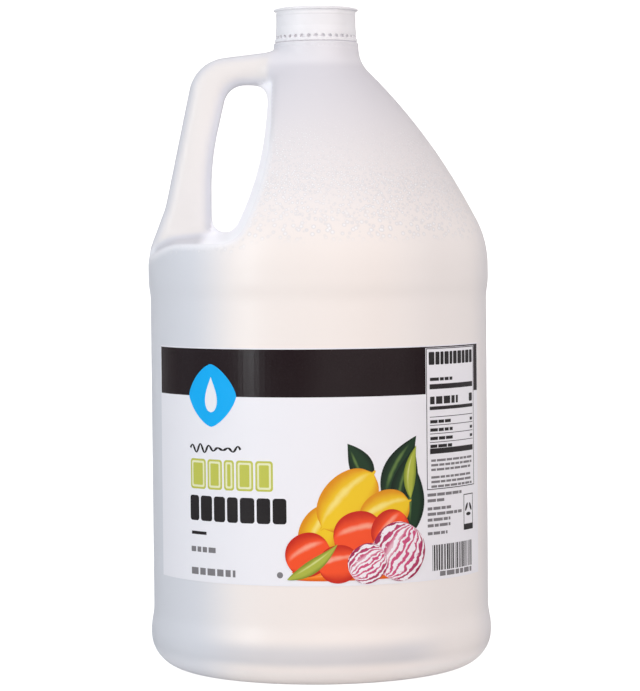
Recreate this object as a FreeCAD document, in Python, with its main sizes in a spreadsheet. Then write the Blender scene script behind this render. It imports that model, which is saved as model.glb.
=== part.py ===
"""One-gallon vinegar jug of natural polyethylene: a blow-moulded round jug with a
moulded-in grip, a snap cap with a tear band, a wrap label and the vinegar in it.

Millimetres, +Z up.  The origin is the middle of the ring that the jug stands on, the
label faces -Y and the grip is on the -X side.
"""
import FreeCAD, Part
import math
import os

V = FreeCAD.Vector
doc = FreeCAD.newDocument("vinegar_jug")

# ---------------------------------------------------------------- driving sizes
SIZES = [
    # body of the jug, turned about Z
    ("panel_radius", 76.0, "straight side that the label lies on"),
    ("low_bumper_proud", 1.3, "lower bumper beyond the panel"),
    ("high_bumper_proud", 0.85, "upper bumper beyond the panel"),
    ("bumper_blend", 18.0, "radius where a bumper runs into the panel"),
    ("base_corner", 15.0, "radius of the bottom edge"),
    ("push_up", 7.0, "height of the hollow under the base"),
    ("push_up_radius", 44.0, "flat middle of that hollow"),
    ("push_up_round", 12.0, "radius at the edge of that flat"),
    ("ring_inner_radius", 55.0, "inner edge of the standing ring"),
    ("ring_round", 4.0, "radius of that inner edge"),
    ("low_bumper_top", 18.5, "height where the lower bumper ends"),
    ("low_bumper_fade", 7.5, "height over which it runs into the panel"),
    ("panel_top", 167.5, "height where the panel ends"),
    ("high_bumper_fade", 6.0, "height over which the upper bumper rises"),
    ("body_height", 191.9, "height where side and shoulder lines meet"),
    ("shoulder_low_round", 45.0, "radius from side to shoulder"),
    ("shoulder_round", 258.0, "long sweep of the shoulder"),
    ("shoulder_height", 80.4, "from the side to the root of the neck"),
    ("shoulder_break_up", 0.612, "where the shoulder's two lines meet, upwards"),
    ("shoulder_break_in", 0.463, "where they meet, inwards from the side"),
    ("neck_radius", 19.5, "outside of the neck at its root"),
    ("neck_taper", 0.4, "how much narrower the neck is at its ledge"),
    ("neck_round", 15.0, "radius from shoulder to neck"),
    ("neck_height", 8.9, "from the root to the ledge under the cap"),
    ("ledge_round", 0.8, "radius of that ledge's edge"),
    ("finish_in", 2.5, "mouth under the cap, inwards from the ledge"),
    ("finish_height", 13.4, "height of the mouth"),
    ("wall", 1.2, "thickness of the plastic"),
    # grip recess, cut from front and back with draft
    ("draft_angle", 4.0, "draft of the recess in degrees"),
    ("recess_depth", 100.0, "how far the cut runs from the middle plane"),
    ("floor_rise", 4.5, "recess floor above body_height, at the wall"),
    ("floor_fall", 2.5, "how much lower the floor is at its bend"),
    ("floor_bend_in", 10.85, "the bend, inwards from the upper bumper"),
    ("floor_bend_round", 20.0, "radius of the bend"),
    ("floor_slope", 0.7, "fall of the floor outside the bend, per millimetre"),
    ("wall_foot_out", 18.6, "recess wall beyond the neck, at the floor"),
    ("wall_foot_round", 8.0, "radius between floor and wall"),
    ("wall_knee_out", 5.6, "recess wall beyond the neck, at its knee"),
    ("wall_knee_rise", 31.6, "height of the knee above body_height"),
    ("wall_knee_round", 127.0, "radius of the knee"),
    ("wall_lean", 0.091, "lean of the wall above the knee, per millimetre"),
    ("lip_round", 3.0, "radius of the recess's lip on the body"),
    # grip
    ("grip_depth", 24.0, "front to back"),
    ("grip_round", 6.0, "radius of its long edges"),
    ("grip_arm_rise", 0.9, "top line at the elbow, above the neck's root"),
    ("grip_arm_slope", 0.115, "fall of the top line away from the neck"),
    ("elbow_in", 22.35, "elbow, inwards from the upper bumper"),
    ("elbow_round", 18.0, "radius of the elbow"),
    ("grip_waist_in", 8.35, "waist, inwards from the upper bumper"),
    ("grip_waist_rise", 16.1, "height of the waist above body_height"),
    ("grip_waist_round", 30.0, "radius of the waist"),
    ("grip_heel_drop", 5.9, "where the grip meets the side, below body_height"),
    ("grip_heel_round", 20.0, "radius there"),
    ("hole_foot_in", 28.75, "outer side of the hole, inwards from the upper bumper"),
    ("hole_foot_round", 8.0, "lower corner of the hole"),
    ("hole_bend_rise", 36.8, "height where that side starts to lean, above body_height"),
    ("hole_bend_round", 120.0, "radius of that bend"),
    ("hole_crown_in", 36.65, "top corner of the hole, inwards from the upper bumper"),
    ("hole_crown_round", 9.5, "radius of the top corner"),
    ("hole_crown_drop", 9.6, "top of the hole below the neck's root"),
    ("hole_neck_round", 8.0, "top corner beside the neck"),
    # cap
    ("cap_gap", 0.25, "clearance between mouth and skirt"),
    ("cap_seat", 0.3, "clearance above the mouth and under the band"),
    ("cap_skirt", 1.1, "thickness of the skirt"),
    ("cap_flare", 0.25, "how much wider the skirt is at its foot"),
    ("cap_plate", 1.9, "thickness of the top"),
    ("brim_proud", 1.1, "thin brim beyond the skirt"),
    ("brim_edge", 0.75, "thickness of the brim at its edge"),
    ("brim_round", 0.5, "radius of the brim's top edge"),
    ("crown_border", 2.2, "sloping border of the top, inside the brim's edge"),
    ("flare_rise", 4.0, "height over which the skirt narrows above its foot"),
    ("cap_edge", 0.3, "radius of the band's and the brim's small edges"),
    ("band_proud", 0.6, "tear band beyond the skirt"),
    ("band_height", 1.5, "height of the tear band"),
    ("bridge_height", 1.4, "height of the bridges above the band"),
    ("bridge_count", 36.0, "number of bridges"),
    ("slot_width", 1.9, "width of the slot between two bridges"),
    # label and filling
    ("label_width", 177.5, "measured round the side"),
    ("label_height", 102.0, "height of the label"),
    ("label_foot", 44.4, "height of the label's lower edge"),
    ("label_thick", 0.15, "thickness of the label"),
    ("label_gap", 0.04, "adhesive between label and panel"),
    ("fill_level", 191.0, "height of the liquid"),
    ("fill_gap", 0.15, "clearance between liquid and wall"),
]
sheet = doc.addObject("Spreadsheet::Sheet", "sizes")
for row, (alias, value, note) in enumerate(SIZES, start=1):
    sheet.set("A%d" % row, str(value))
    sheet.setAlias("A%d" % row, alias)
    sheet.set("B%d" % row, note)
doc.recompute()


def size(alias):
    """The value of one cell of the sheet."""
    return float(sheet.get(alias))


# heights and radii that follow from the driving sizes
low_bumper_radius = size("panel_radius") + size("low_bumper_proud")
high_bumper_radius = size("panel_radius") + size("high_bumper_proud")
finish_radius = size("neck_radius") - size("neck_taper") - size("finish_in")
wall_foot = size("neck_radius") + size("wall_foot_out")
wall_knee = size("neck_radius") + size("wall_knee_out")
neck_root = size("body_height") + size("shoulder_height")
ledge_height = neck_root + size("neck_height")
mouth_top = ledge_height + size("finish_height")
floor_foot = size("body_height") + size("floor_rise")
crown_height = neck_root - size("hole_crown_drop")   # top of the grip hole
arm_end = -0.6 * size("neck_radius")                 # where the grip ends in the neck
buried_foot = size("body_height") - 14.0             # where it ends in the body
above_all = mouth_top + 10.0          # any height clear of the jug
beyond_all = low_bumper_radius + 30.0  # any distance outside it


# ---------------------------------------------------------------- outlines
# An outline is a list of corners (x, z, radius), joined by straight sides.  Going along
# it, the material is on the left.
def moved_in(corners, distance, closed=True):
    """The outline with each side moved to its left by a distance; radii follow."""
    count = len(corners)
    sides = []
    for index in range(count if closed else count - 1):
        x, z, _ = corners[index]
        next_x, next_z, _ = corners[(index + 1) % count]
        length = math.hypot(next_x - x, next_z - z)
        along_x = (next_x - x) / length
        along_z = (next_z - z) / length
        sides.append((x - along_z * distance, z + along_x * distance, along_x, along_z))
    moved = []
    for index, (x, z, radius) in enumerate(corners):
        if not closed and index in (0, count - 1):
            side = sides[0] if index == 0 else sides[-1]
            moved.append((x, side[1], 0.0))
            continue
        before = sides[index - 1]
        after = sides[index]
        turn = before[2] * after[3] - before[3] * after[2]
        reach = ((after[0] - before[0]) * after[3] - (after[1] - before[1]) * after[2]) / turn
        if radius:
            radius = max(radius - distance if turn > 0 else radius + distance, 0.0)
        moved.append((before[0] + before[2] * reach, before[1] + before[3] * reach, radius))
    return moved


def curves_of(corners, closed=True):
    """Lines and tangent arcs along an outline.  Two arcs that share a side never use
    more than that side's length between them."""
    count = len(corners)
    points = [V(x, z, 0) for x, z, _ in corners]
    tangent = [0.0] * count
    halves = [math.pi / 2] * count
    for index, (_, _, radius) in enumerate(corners):
        if radius and (closed or 0 < index < count - 1):
            back = points[index - 1] - points[index]
            onward = points[(index + 1) % count] - points[index]
            halves[index] = back.getAngle(onward) / 2
            tangent[index] = radius / math.tan(halves[index])
    for index in range(count if closed else count - 1):
        after = (index + 1) % count
        length = (points[after] - points[index]).Length
        used = tangent[index] + tangent[after]
        if used > 0.98 * length:
            tangent[index] *= 0.98 * length / used
            tangent[after] *= 0.98 * length / used
    curves = []
    ends = []
    for index, point in enumerate(points):
        if tangent[index] == 0.0:
            ends.append((point, point))
            continue
        back = (points[index - 1] - point).normalize()
        onward = (points[(index + 1) % count] - point).normalize()
        start = point + back * tangent[index]
        end = point + onward * tangent[index]
        radius = tangent[index] * math.tan(halves[index])
        middle = (back + onward).normalize()
        crown = point + middle * (radius / math.sin(halves[index]) - radius)
        ends.append((start, end))
        curves.append(Part.Arc(start, crown, end))
    for index in range(count if closed else count - 1):
        start = ends[index][1]
        end = ends[(index + 1) % count][0]
        if (end - start).Length > 1e-6:
            curves.append(Part.LineSegment(start, end))
    return curves


def body_corners():
    """Half of the turned jug, from the middle of the base to the middle of the mouth."""
    high = high_bumper_radius
    shoulder_in = (high - size("neck_radius")) * size("shoulder_break_in")
    shoulder_up = size("shoulder_height") * size("shoulder_break_up")
    panel_foot = size("low_bumper_top") + size("low_bumper_fade")
    return [
        (0.0, size("push_up"), 0.0),
        (size("push_up_radius"), size("push_up"), size("push_up_round")),
        (size("ring_inner_radius"), 0.0, size("ring_round")),
        (low_bumper_radius, 0.0, size("base_corner")),
        (low_bumper_radius, size("low_bumper_top"), size("bumper_blend")),
        (size("panel_radius"), panel_foot, size("bumper_blend")),
        (size("panel_radius"), size("panel_top"), size("bumper_blend")),
        (high, size("panel_top") + size("high_bumper_fade"), size("bumper_blend")),
        (high, size("body_height"), size("shoulder_low_round")),
        (high - shoulder_in, size("body_height") + shoulder_up, size("shoulder_round")),
        (size("neck_radius"), neck_root, size("neck_round")),
        (size("neck_radius") - size("neck_taper"), ledge_height, size("ledge_round")),
        (finish_radius, ledge_height, 0.0),
        (finish_radius, mouth_top, 0.0),
        (0.0, mouth_top, 0.0),
    ]


def recess_corners():
    """What the grip recess takes away, in the middle plane: floor, foot, wall."""
    bend = high_bumper_radius - size("floor_bend_in")
    knee_height = size("body_height") + size("wall_knee_rise")
    outside = beyond_all + size("recess_depth") * math.tan(math.radians(size("draft_angle")))
    return [
        (-outside, floor_foot - size("floor_fall") - size("floor_slope") * (outside - bend), 0.0),
        (-bend, floor_foot - size("floor_fall"), size("floor_bend_round")),
        (-wall_foot, floor_foot, size("wall_foot_round")),
        (-wall_knee, knee_height, size("wall_knee_round")),
        (-wall_knee + size("wall_lean") * (above_all - knee_height), above_all, 0.0),
        (-outside, above_all, 0.0),
    ]


def grip_corners():
    """The grip in the middle plane, with the ends that lie inside the body."""
    high = high_bumper_radius
    elbow = -(high - size("elbow_in"))
    elbow_height = neck_root + size("grip_arm_rise")
    hole_side = -(high - size("hole_foot_in"))
    drafted = size("grip_depth") / 2 * math.tan(math.radians(size("draft_angle")))
    buried = drafted + 0.2        # how deep the web lies behind floor and wall
    knee_height = size("body_height") + size("wall_knee_rise")

    def behind_wall(height):
        lean = size("wall_lean") * (height - knee_height)
        return -wall_knee + lean + buried

    floor_drop = size("floor_fall") / (high - size("floor_bend_in") - wall_foot)

    def under_floor(x):
        return floor_foot - floor_drop * (-x - wall_foot) - buried

    web_foot = crown_height - 2.5 * size("hole_neck_round")
    toe = -wall_foot + 2.0
    return [
        (arm_end, elbow_height + size("grip_arm_slope") * (arm_end - elbow), 0.0),
        (elbow, elbow_height, size("elbow_round")),
        (-(high - size("grip_waist_in")), size("body_height") + size("grip_waist_rise"),
         size("grip_waist_round")),
        (-high, size("body_height") - size("grip_heel_drop"), size("grip_heel_round")),
        (-high, buried_foot, 0.0),
        (toe, buried_foot, 0.0),
        (toe, under_floor(toe), 0.0),
        (hole_side, under_floor(hole_side), size("hole_foot_round")),
        (hole_side, size("body_height") + size("hole_bend_rise"), size("hole_bend_round")),
        (-(high - size("hole_crown_in")), crown_height, size("hole_crown_round")),
        (behind_wall(crown_height), crown_height, size("hole_neck_round")),
        (behind_wall(web_foot), web_foot, 0.0),
        (arm_end, web_foot, 0.0),
    ]


GRIP_BURIED_SIDES = (4, 5, 11, 12)    # its sides that lie inside the body and the neck


def on_buried_side(corners, point):
    """Whether a point of the grip's outline is on one of its buried sides."""
    for index in GRIP_BURIED_SIDES:
        x, z, _ = corners[index]
        next_x, next_z, _ = corners[(index + 1) % len(corners)]
        length = math.hypot(next_x - x, next_z - z)
        away = (next_x - x) * (point.z - z) - (next_z - z) * (point.x - x)
        if abs(away) / length < 1e-6:
            return True
    return False


# ---------------------------------------------------------------- helpers
def sketch_on(body, plane, name, curves):
    """A sketch of the given curves on one of the body's own origin planes."""
    sketch = body.newObject("Sketcher::SketchObject", name)
    planes = [feature for feature in body.Origin.OriginFeatures if feature.Role == plane]
    sketch.AttachmentSupport = [(planes[0], "")]
    sketch.MapMode = "FlatFace"
    sketch.addGeometry(curves, False)
    return sketch


def middle(edge):
    """The point halfway along an edge."""
    return edge.valueAt((edge.FirstParameter + edge.LastParameter) / 2)


def fillet(body, base, name, edges, radius):
    """A fillet on numbered edges of the last feature, its radius an expression."""
    rounding = body.newObject("PartDesign::Fillet", name)
    rounding.Base = (base, ["Edge%d" % number for number in edges])
    rounding.setExpression("Radius", radius)
    doc.recompute()
    return rounding


# ---------------------------------------------------------------- the jug's form
def turned_body(name, inset, inset_text):
    """The turned body with the grip recess cut from both sides and its lip rounded."""
    body = doc.addObject("PartDesign::Body", name)
    corners = moved_in(body_corners(), inset, closed=False)
    if inset:
        # the hollow runs out through the mouth
        bore = corners[-2][0]
        corners[-2:] = [(bore, above_all, 0.0), (0.0, above_all, 0.0)]
    axis = Part.LineSegment(V(0, corners[-1][1], 0), V(0, corners[0][1], 0))
    half = sketch_on(body, "XZ_Plane", name + "_half", curves_of(corners, False) + [axis])
    turned = body.newObject("PartDesign::Revolution", name + "_turned")
    turned.Profile = half
    turned.ReferenceAxis = (half, ["V_Axis"])
    turned.Angle = 360
    doc.recompute()
    skin = turned.Shape.Shells[0].copy()
    for side, reverse in (("back", False), ("front", True)):
        outline = curves_of(moved_in(recess_corners(), -inset))
        cut = sketch_on(body, "XZ_Plane", "%s_recess_%s" % (name, side), outline)
        pocket = body.newObject("PartDesign::Pocket", "%s_pocket_%s" % (name, side))
        pocket.Profile = cut
        pocket.Type = "Length"
        pocket.Reversed = reverse
        pocket.setExpression("Length", "sizes.recess_depth")
        pocket.setExpression("TaperAngle", "sizes.draft_angle")
        before = body.Shape.Volume
        doc.recompute()
        if not body.Shape.Volume < before - 1.0:
            raise RuntimeError("%s recess of %s cuts nothing" % (side, name))
    lip = []
    for number, edge in enumerate(pocket.Shape.Edges, start=1):
        point = middle(edge)
        beside = point.x < -0.25 * size("neck_radius")
        between = size("body_height") - 10.0 < point.z < ledge_height - 2.0
        if beside and between and skin.distToShape(Part.Vertex(point))[0] < 1e-4:
            lip.append(number)
    fillet(body, pocket, name + "_lip", lip, "sizes.lip_round - (%s)" % inset_text)
    return body


def grip_body(name, inset, inset_text):
    """The grip as a pad across the middle plane, with its long edges rounded."""
    body = doc.addObject("PartDesign::Body", name)
    corners = moved_in(grip_corners(), inset)
    outline = sketch_on(body, "XZ_Plane", name + "_outline", curves_of(corners))
    pad = body.newObject("PartDesign::Pad", name + "_pad")
    pad.Profile = outline
    pad.Type = "Length"
    pad.Midplane = True
    pad.setExpression("Length", "sizes.grip_depth - 2 * (%s)" % inset_text)
    doc.recompute()
    half_depth = size("grip_depth") / 2 - inset
    long_edges = []
    for number, edge in enumerate(pad.Shape.Edges, start=1):
        point = middle(edge)
        on_face = abs(abs(point.y) - half_depth) < 1e-6
        if on_face and not on_buried_side(corners, point):
            long_edges.append(number)
    fillet(body, pad, name + "_round", long_edges, "sizes.grip_round - (%s)" % inset_text)
    return body


def jug_form(name, inset, inset_text):
    """Body and grip in one, every face moved in from the outside by the inset."""
    turned = turned_body(name + "_body", inset, inset_text)
    grip = grip_body(name + "_grip", inset, inset_text)
    limit = doc.addObject("Part::Cylinder", name + "_limit")
    limit_radius = "sizes.panel_radius + sizes.high_bumper_proud - (%s)" % inset_text
    limit.setExpression("Radius", limit_radius)
    limit.Height = above_all
    trimmed = doc.addObject("Part::Common", name + "_grip_trimmed")
    trimmed.Base = grip
    trimmed.Tool = limit
    form = doc.addObject("Part::Fuse", name)
    form.Base = turned
    form.Tool = trimmed
    doc.recompute()
    return form


def make_jug():
    """The hollow jug: the outside form less the same form moved in by the wall."""
    outside = jug_form("outside", 0.0, "0")
    hollow = jug_form("hollow", size("wall"), "sizes.wall")
    jug = doc.addObject("Part::Cut", "jug_cut")
    jug.Base = outside
    jug.Tool = hollow
    jug.Label = "jug"
    return jug


def make_vinegar():
    """The liquid, clear of the wall by the fill gap, up to its level."""
    inset = size("wall") + size("fill_gap")
    room = jug_form("room", inset, "sizes.wall + sizes.fill_gap")
    below = doc.addObject("Part::Cylinder", "below_level")
    below.Radius = beyond_all
    below.setExpression("Height", "sizes.fill_level")
    vinegar = doc.addObject("Part::Common", "vinegar_fill")
    vinegar.Base = room
    vinegar.Tool = below
    vinegar.Label = "vinegar"
    return vinegar


def make_cap():
    """A turned snap cap: top with a thin brim, skirt, and a tear band on bridges."""
    body = doc.addObject("PartDesign::Body", "cap_body")
    inner = finish_radius + size("cap_gap")
    outer = inner + size("cap_skirt")
    under_top = mouth_top + size("cap_seat")
    top = under_top + size("cap_plate")
    band_foot = ledge_height + size("cap_seat")
    band_top = band_foot + size("band_height")
    skirt_foot = band_top + size("bridge_height")
    brim_foot = top - size("brim_edge") - size("brim_round")
    brim = outer + size("brim_proud")
    band = outer + size("band_proud")
    flare = outer + size("cap_flare")
    edge = size("cap_edge")
    corners = [
        (inner, band_foot, 0.0),
        (band, band_foot, edge),
        (band, band_top, edge),
        (flare, band_top, 0.0),
        (flare, skirt_foot + size("flare_rise") / 2, size("flare_rise") / 2),
        (outer, skirt_foot + size("flare_rise"), size("flare_rise")),
        (outer, brim_foot - edge, 2 * edge),
        (brim, brim_foot, edge / 3),
        (brim, top - size("brim_round"), size("brim_round")),
        (brim - size("crown_border"), top, size("crown_border") / 2),
        (0.0, top, 0.0),
        (0.0, under_top, 0.0),
        (inner, under_top, edge),
    ]
    half = sketch_on(body, "XZ_Plane", "cap_half", curves_of(corners))
    turned = body.newObject("PartDesign::Revolution", "cap_turned")
    turned.Profile = half
    turned.ReferenceAxis = (half, ["V_Axis"])
    turned.Angle = 360
    doc.recompute()
    half_slot = size("slot_width") / 2
    slot_reach = 5.0
    slot_corners = [
        (-half_slot, band_top, 0.0),
        (half_slot, band_top, 0.0),
        (half_slot, skirt_foot, half_slot * 0.9),
        (-half_slot, skirt_foot, half_slot * 0.9),
    ]
    slot_sketch = sketch_on(body, "XZ_Plane", "slot_outline", curves_of(slot_corners))
    slot = body.newObject("PartDesign::Pocket", "slot")
    slot.Profile = slot_sketch
    slot.Type = "Length"
    slot.Reversed = True
    slot.setExpression("Length", "sizes.neck_radius + %s" % slot_reach)
    before = body.Shape.Volume
    doc.recompute()
    if not body.Shape.Volume < before:
        raise RuntimeError("the slot cuts nothing")
    slots = body.newObject("PartDesign::PolarPattern", "slots")
    slots.Originals = [slot]
    slots.Axis = (slot_sketch, ["V_Axis"])
    slots.Angle = 360
    slots.setExpression("Occurrences", "sizes.bridge_count")
    body.Tip = slots
    body.Label = "cap"
    return body


def make_label():
    """A thin sheet wrapped round the front of the panel."""
    outer = doc.addObject("Part::Cylinder", "label_outer")
    outside = "sizes.panel_radius + sizes.label_gap + sizes.label_thick"
    outer.setExpression("Radius", outside)
    outer.setExpression("Height", "sizes.label_height")
    turn = "sizes.label_width / (%s) * 180 / pi" % outside
    outer.setExpression("Angle", "(%s) * 1 deg" % turn)
    outer.setExpression("Placement.Base.z", "sizes.label_foot")
    radius = size("panel_radius") + size("label_gap") + size("label_thick")
    span = math.degrees(size("label_width") / radius)
    outer.Placement.Rotation = FreeCAD.Rotation(V(0, 0, 1), -90 - span / 2)
    inner = doc.addObject("Part::Cylinder", "label_inner")
    inner.setExpression("Radius", "sizes.panel_radius + sizes.label_gap")
    inner.Height = above_all
    label = doc.addObject("Part::Cut", "label_sheet")
    label.Base = outer
    label.Tool = inner
    label.Label = "label"
    return label


# ---------------------------------------------------------------- build and write
PIECES = [make_jug(), make_vinegar(), make_cap(), make_label()]
doc.recompute()

for thing in doc.Objects:
    if "Invalid" in thing.State or "Error" in thing.State:
        raise RuntimeError("%s failed: %s" % (thing.Name, thing.State))
for piece in PIECES:
    if piece.Shape.isNull() or not piece.Shape.isValid():
        raise RuntimeError("%s has no valid shape" % piece.Label)
    if len(piece.Shape.Solids) != 1:
        raise RuntimeError("%s is %d solids" % (piece.Label, len(piece.Shape.Solids)))

os.makedirs("parts", exist_ok=True)
for piece in PIECES:
    piece.Shape.exportStep("parts/%s.step" % piece.Label)
    box = piece.Shape.BoundBox
    print("%-8s %8.2f cm3  z %.2f to %.2f" % (
        piece.Label, piece.Shape.Volume / 1000, box.ZMin, box.ZMax))
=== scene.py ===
"""Looks of a one-gallon jug of vinegar: milky plastic, snap cap, printed wrap label.

Shapes are worked out in millimetres and scaled to metres when a mesh is made.  The
label faces -Y, the grip is on the -X side and +Z is up.
"""
import math

import bmesh
import bpy
import numpy as np
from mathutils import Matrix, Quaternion, Vector


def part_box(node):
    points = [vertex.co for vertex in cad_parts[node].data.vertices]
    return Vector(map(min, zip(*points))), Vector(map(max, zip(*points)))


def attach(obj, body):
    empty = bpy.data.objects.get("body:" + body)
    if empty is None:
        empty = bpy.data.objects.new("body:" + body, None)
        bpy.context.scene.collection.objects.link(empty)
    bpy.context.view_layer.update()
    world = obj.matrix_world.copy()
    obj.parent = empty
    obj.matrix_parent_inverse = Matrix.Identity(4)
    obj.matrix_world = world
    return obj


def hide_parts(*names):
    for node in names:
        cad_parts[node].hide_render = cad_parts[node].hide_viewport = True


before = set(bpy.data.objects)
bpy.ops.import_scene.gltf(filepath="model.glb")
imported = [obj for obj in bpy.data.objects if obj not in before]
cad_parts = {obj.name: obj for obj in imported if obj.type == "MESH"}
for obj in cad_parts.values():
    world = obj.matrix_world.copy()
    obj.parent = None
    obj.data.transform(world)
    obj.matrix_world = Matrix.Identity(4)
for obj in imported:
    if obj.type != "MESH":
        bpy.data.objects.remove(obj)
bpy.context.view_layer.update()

MM = 0.001
RNG = np.random.default_rng(11)

# ---------------------------------------------------------------- sizes in millimetres
PANEL_RADIUS = 76.0
LOW_BUMPER = 77.25
HIGH_BUMPER = 76.85
BODY_HEIGHT = 191.9
NECK_ROOT = 272.3
NECK_RADIUS = 19.5
LEDGE_RADIUS = 19.1
LEDGE_HEIGHT = 281.2
MOUTH_RADIUS = 16.6
MOUTH_TOP = 294.6
WALL = 1.2
DRAFT = math.radians(4.0)
GRIP_HALF_DEPTH = 12.0
GRIP_EDGE = 6.5                        # rounding of the grip's long edges
LIP_BLEND = 3.2                        # reach of the soft lip round the recess
GRIP_BLEND = (1.2, 9.0)                # reach of the grip's blends: at its ends, between
FILL_LEVEL = 191.0
VINEGAR_TUCK = 0.1                     # how far the liquid reaches into the wall
OUTSIDE_CELL, INSIDE_CELL, VINEGAR_CELL = 2.0, 2.7, 3.0
SMOOTHING = (0.5, 0.5, 0.4, 0.0, 0.0)  # share of each pass that evens out the points

LABEL_LOW, LABEL_HIGH = [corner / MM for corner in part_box("label")]
LABEL_HEAD = LABEL_HIGH.z
LABEL_RADIUS = -LABEL_LOW.y            # outer face of the label
LABEL_HALF = 88.75                     # half its width, round the side
PRINT_LIFT = 0.03                      # from one layer of print to the next
BEND_STEP = 2.5                        # longest straight side of a bar round the label


# ---------------------------------------------------------------- outlines and tables
def rounded(corners, closed=True):
    """Outline through corners (a, b, radius): straight sides joined by tangent arcs.

    An arc's tangent length is radius times the tangent of half the turn, and its
    points lie at equal angles about its centre.
    """
    points = []
    for index, (a, b, radius) in enumerate(corners):
        here = np.array((a, b), float)
        if radius == 0 or (not closed and index in (0, len(corners) - 1)):
            points.append(here[None])
            continue
        before = np.array(corners[index - 1][:2], float)
        after = np.array(corners[(index + 1) % len(corners)][:2], float)
        came = (here - before) / np.linalg.norm(here - before)
        goes = (after - here) / np.linalg.norm(after - here)
        turn = math.atan2(came[0] * goes[1] - came[1] * goes[0], came @ goes)
        across = math.copysign(1.0, turn) * np.array((-came[1], came[0]))
        centre = here - came * radius * abs(math.tan(turn / 2)) + across * radius
        steps = max(3, int(abs(turn) * radius / 1.5) + 2, int(abs(turn) / 0.12) + 2)
        angle = np.linspace(0, turn, steps)[:, None]
        first = -across
        quarter = np.array((-first[1], first[0]))
        points.append(centre + radius * (np.cos(angle) * first + np.sin(angle) * quarter))
    return np.concatenate(points)


def distance_table(outline, low, high, step=0.5):
    """Signed distance to a closed outline, on a square grid.

    The size is the least distance to any side; the sign is negative where a line
    drawn to one side crosses the outline an odd number of times.
    """
    grid_a, grid_b = np.meshgrid(np.arange(low[0], high[0] + step, step),
                                 np.arange(low[1], high[1] + step, step), indexing="ij")
    least = np.full(grid_a.shape, 1e9)
    inside = np.zeros(grid_a.shape, bool)
    for start, end in zip(outline, np.roll(outline, -1, axis=0)):
        side = end - start
        if side @ side < 1e-12:
            continue
        off_a = grid_a - start[0]
        off_b = grid_b - start[1]
        along = np.clip((off_a * side[0] + off_b * side[1]) / (side @ side), 0, 1)
        least = np.minimum(least, (off_a - along * side[0]) ** 2 + (off_b - along * side[1]) ** 2)
        if side[1] != 0:
            level = (start[1] > grid_b) != (end[1] > grid_b)
            inside ^= level & (off_a < off_b * side[0] / side[1])
    return low, step, np.where(inside, -1.0, 1.0) * np.sqrt(least)


def look_up(table, a, b):
    """Value of a table between its grid points, linear along both of its axes."""
    low, step, values = table
    a = np.clip((a - low[0]) / step, 0, values.shape[0] - 1.001)
    b = np.clip((b - low[1]) / step, 0, values.shape[1] - 1.001)
    i = a.astype(int)
    j = b.astype(int)
    a = a - i
    b = b - j
    return ((values[i, j] * (1 - a) + values[i + 1, j] * a) * (1 - b)
            + (values[i, j + 1] * (1 - a) + values[i + 1, j + 1] * a) * b)


def soft_min(a, b, reach):
    """The lesser of two distances, with a round blend where they differ by under reach."""
    near = np.clip(reach - np.abs(a - b), 0, None) / reach
    return np.minimum(a, b) - near * near * reach / 4


def soft_max(a, b, reach):
    """The greater of two distances, with the same round blend."""
    return -soft_min(-a, -b, reach)


def step_between(value, start, end):
    """Nought before start, one after end, and a smooth S between."""
    share = np.clip((value - start) / (end - start), 0, 1)
    return share * share * (3 - 2 * share)


# ---------------------------------------------------------------- the jug's form
BODY_CORNERS = [
    (0.0, 7.0, 0.0),
    (44.0, 7.0, 12.0),
    (55.0, 0.0, 4.0),
    (LOW_BUMPER, 0.0, 15.0),
    (LOW_BUMPER, 18.5, 18.0),
    (PANEL_RADIUS, 26.0, 18.0),
    (PANEL_RADIUS, 167.5, 18.0),
    (HIGH_BUMPER, 173.5, 18.0),
    (HIGH_BUMPER, BODY_HEIGHT, 45.0),
    (50.3, 241.1, 258.0),
    (NECK_RADIUS, NECK_ROOT, 15.0),
    (LEDGE_RADIUS, LEDGE_HEIGHT, 0.8),
    (0.0, LEDGE_HEIGHT, 0.0),
]
RECESS_CORNERS = [
    (-140.0, 142.1, 0.0),
    (-66.0, 193.9, 20.0),
    (-38.1, 196.4, 8.0),
    (-25.1, 223.5, 127.0),
    (-17.7, 304.6, 0.0),
    (-140.0, 304.6, 0.0),
]
GRIP_CORNERS = [
    (-8.0, 278.6, 0.0),
    (-54.5, 273.2, 18.0),
    (-68.5, 208.0, 30.0),
    (-77.2, 185.2, 14.0),
    (-72.0, 172.0, 0.0),
    (-48.1, 172.0, 0.0),
    (-48.1, 228.7, 120.0),
    (-40.2, 262.7, 9.5),
    (-8.0, 262.7, 0.0),
]
half_body = rounded(BODY_CORNERS, closed=False)
whole_body = np.concatenate([half_body, half_body[::-1] * (-1, 1)])
BODY = distance_table(whole_body, (0.0, -6.0), (92.0, 292.0))
RECESS = distance_table(rounded(RECESS_CORNERS), (-96.0, 160.0), (30.0, 296.0))
GRIP = distance_table(rounded(GRIP_CORNERS), (-96.0, 160.0), (30.0, 296.0))


def recess_distance(x, y, z):
    """Distance to the recess: its outline in the middle plane, widened with draft by depth."""
    return (look_up(RECESS, x, z) - np.abs(y) * math.tan(DRAFT)) * math.cos(DRAFT)


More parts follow.
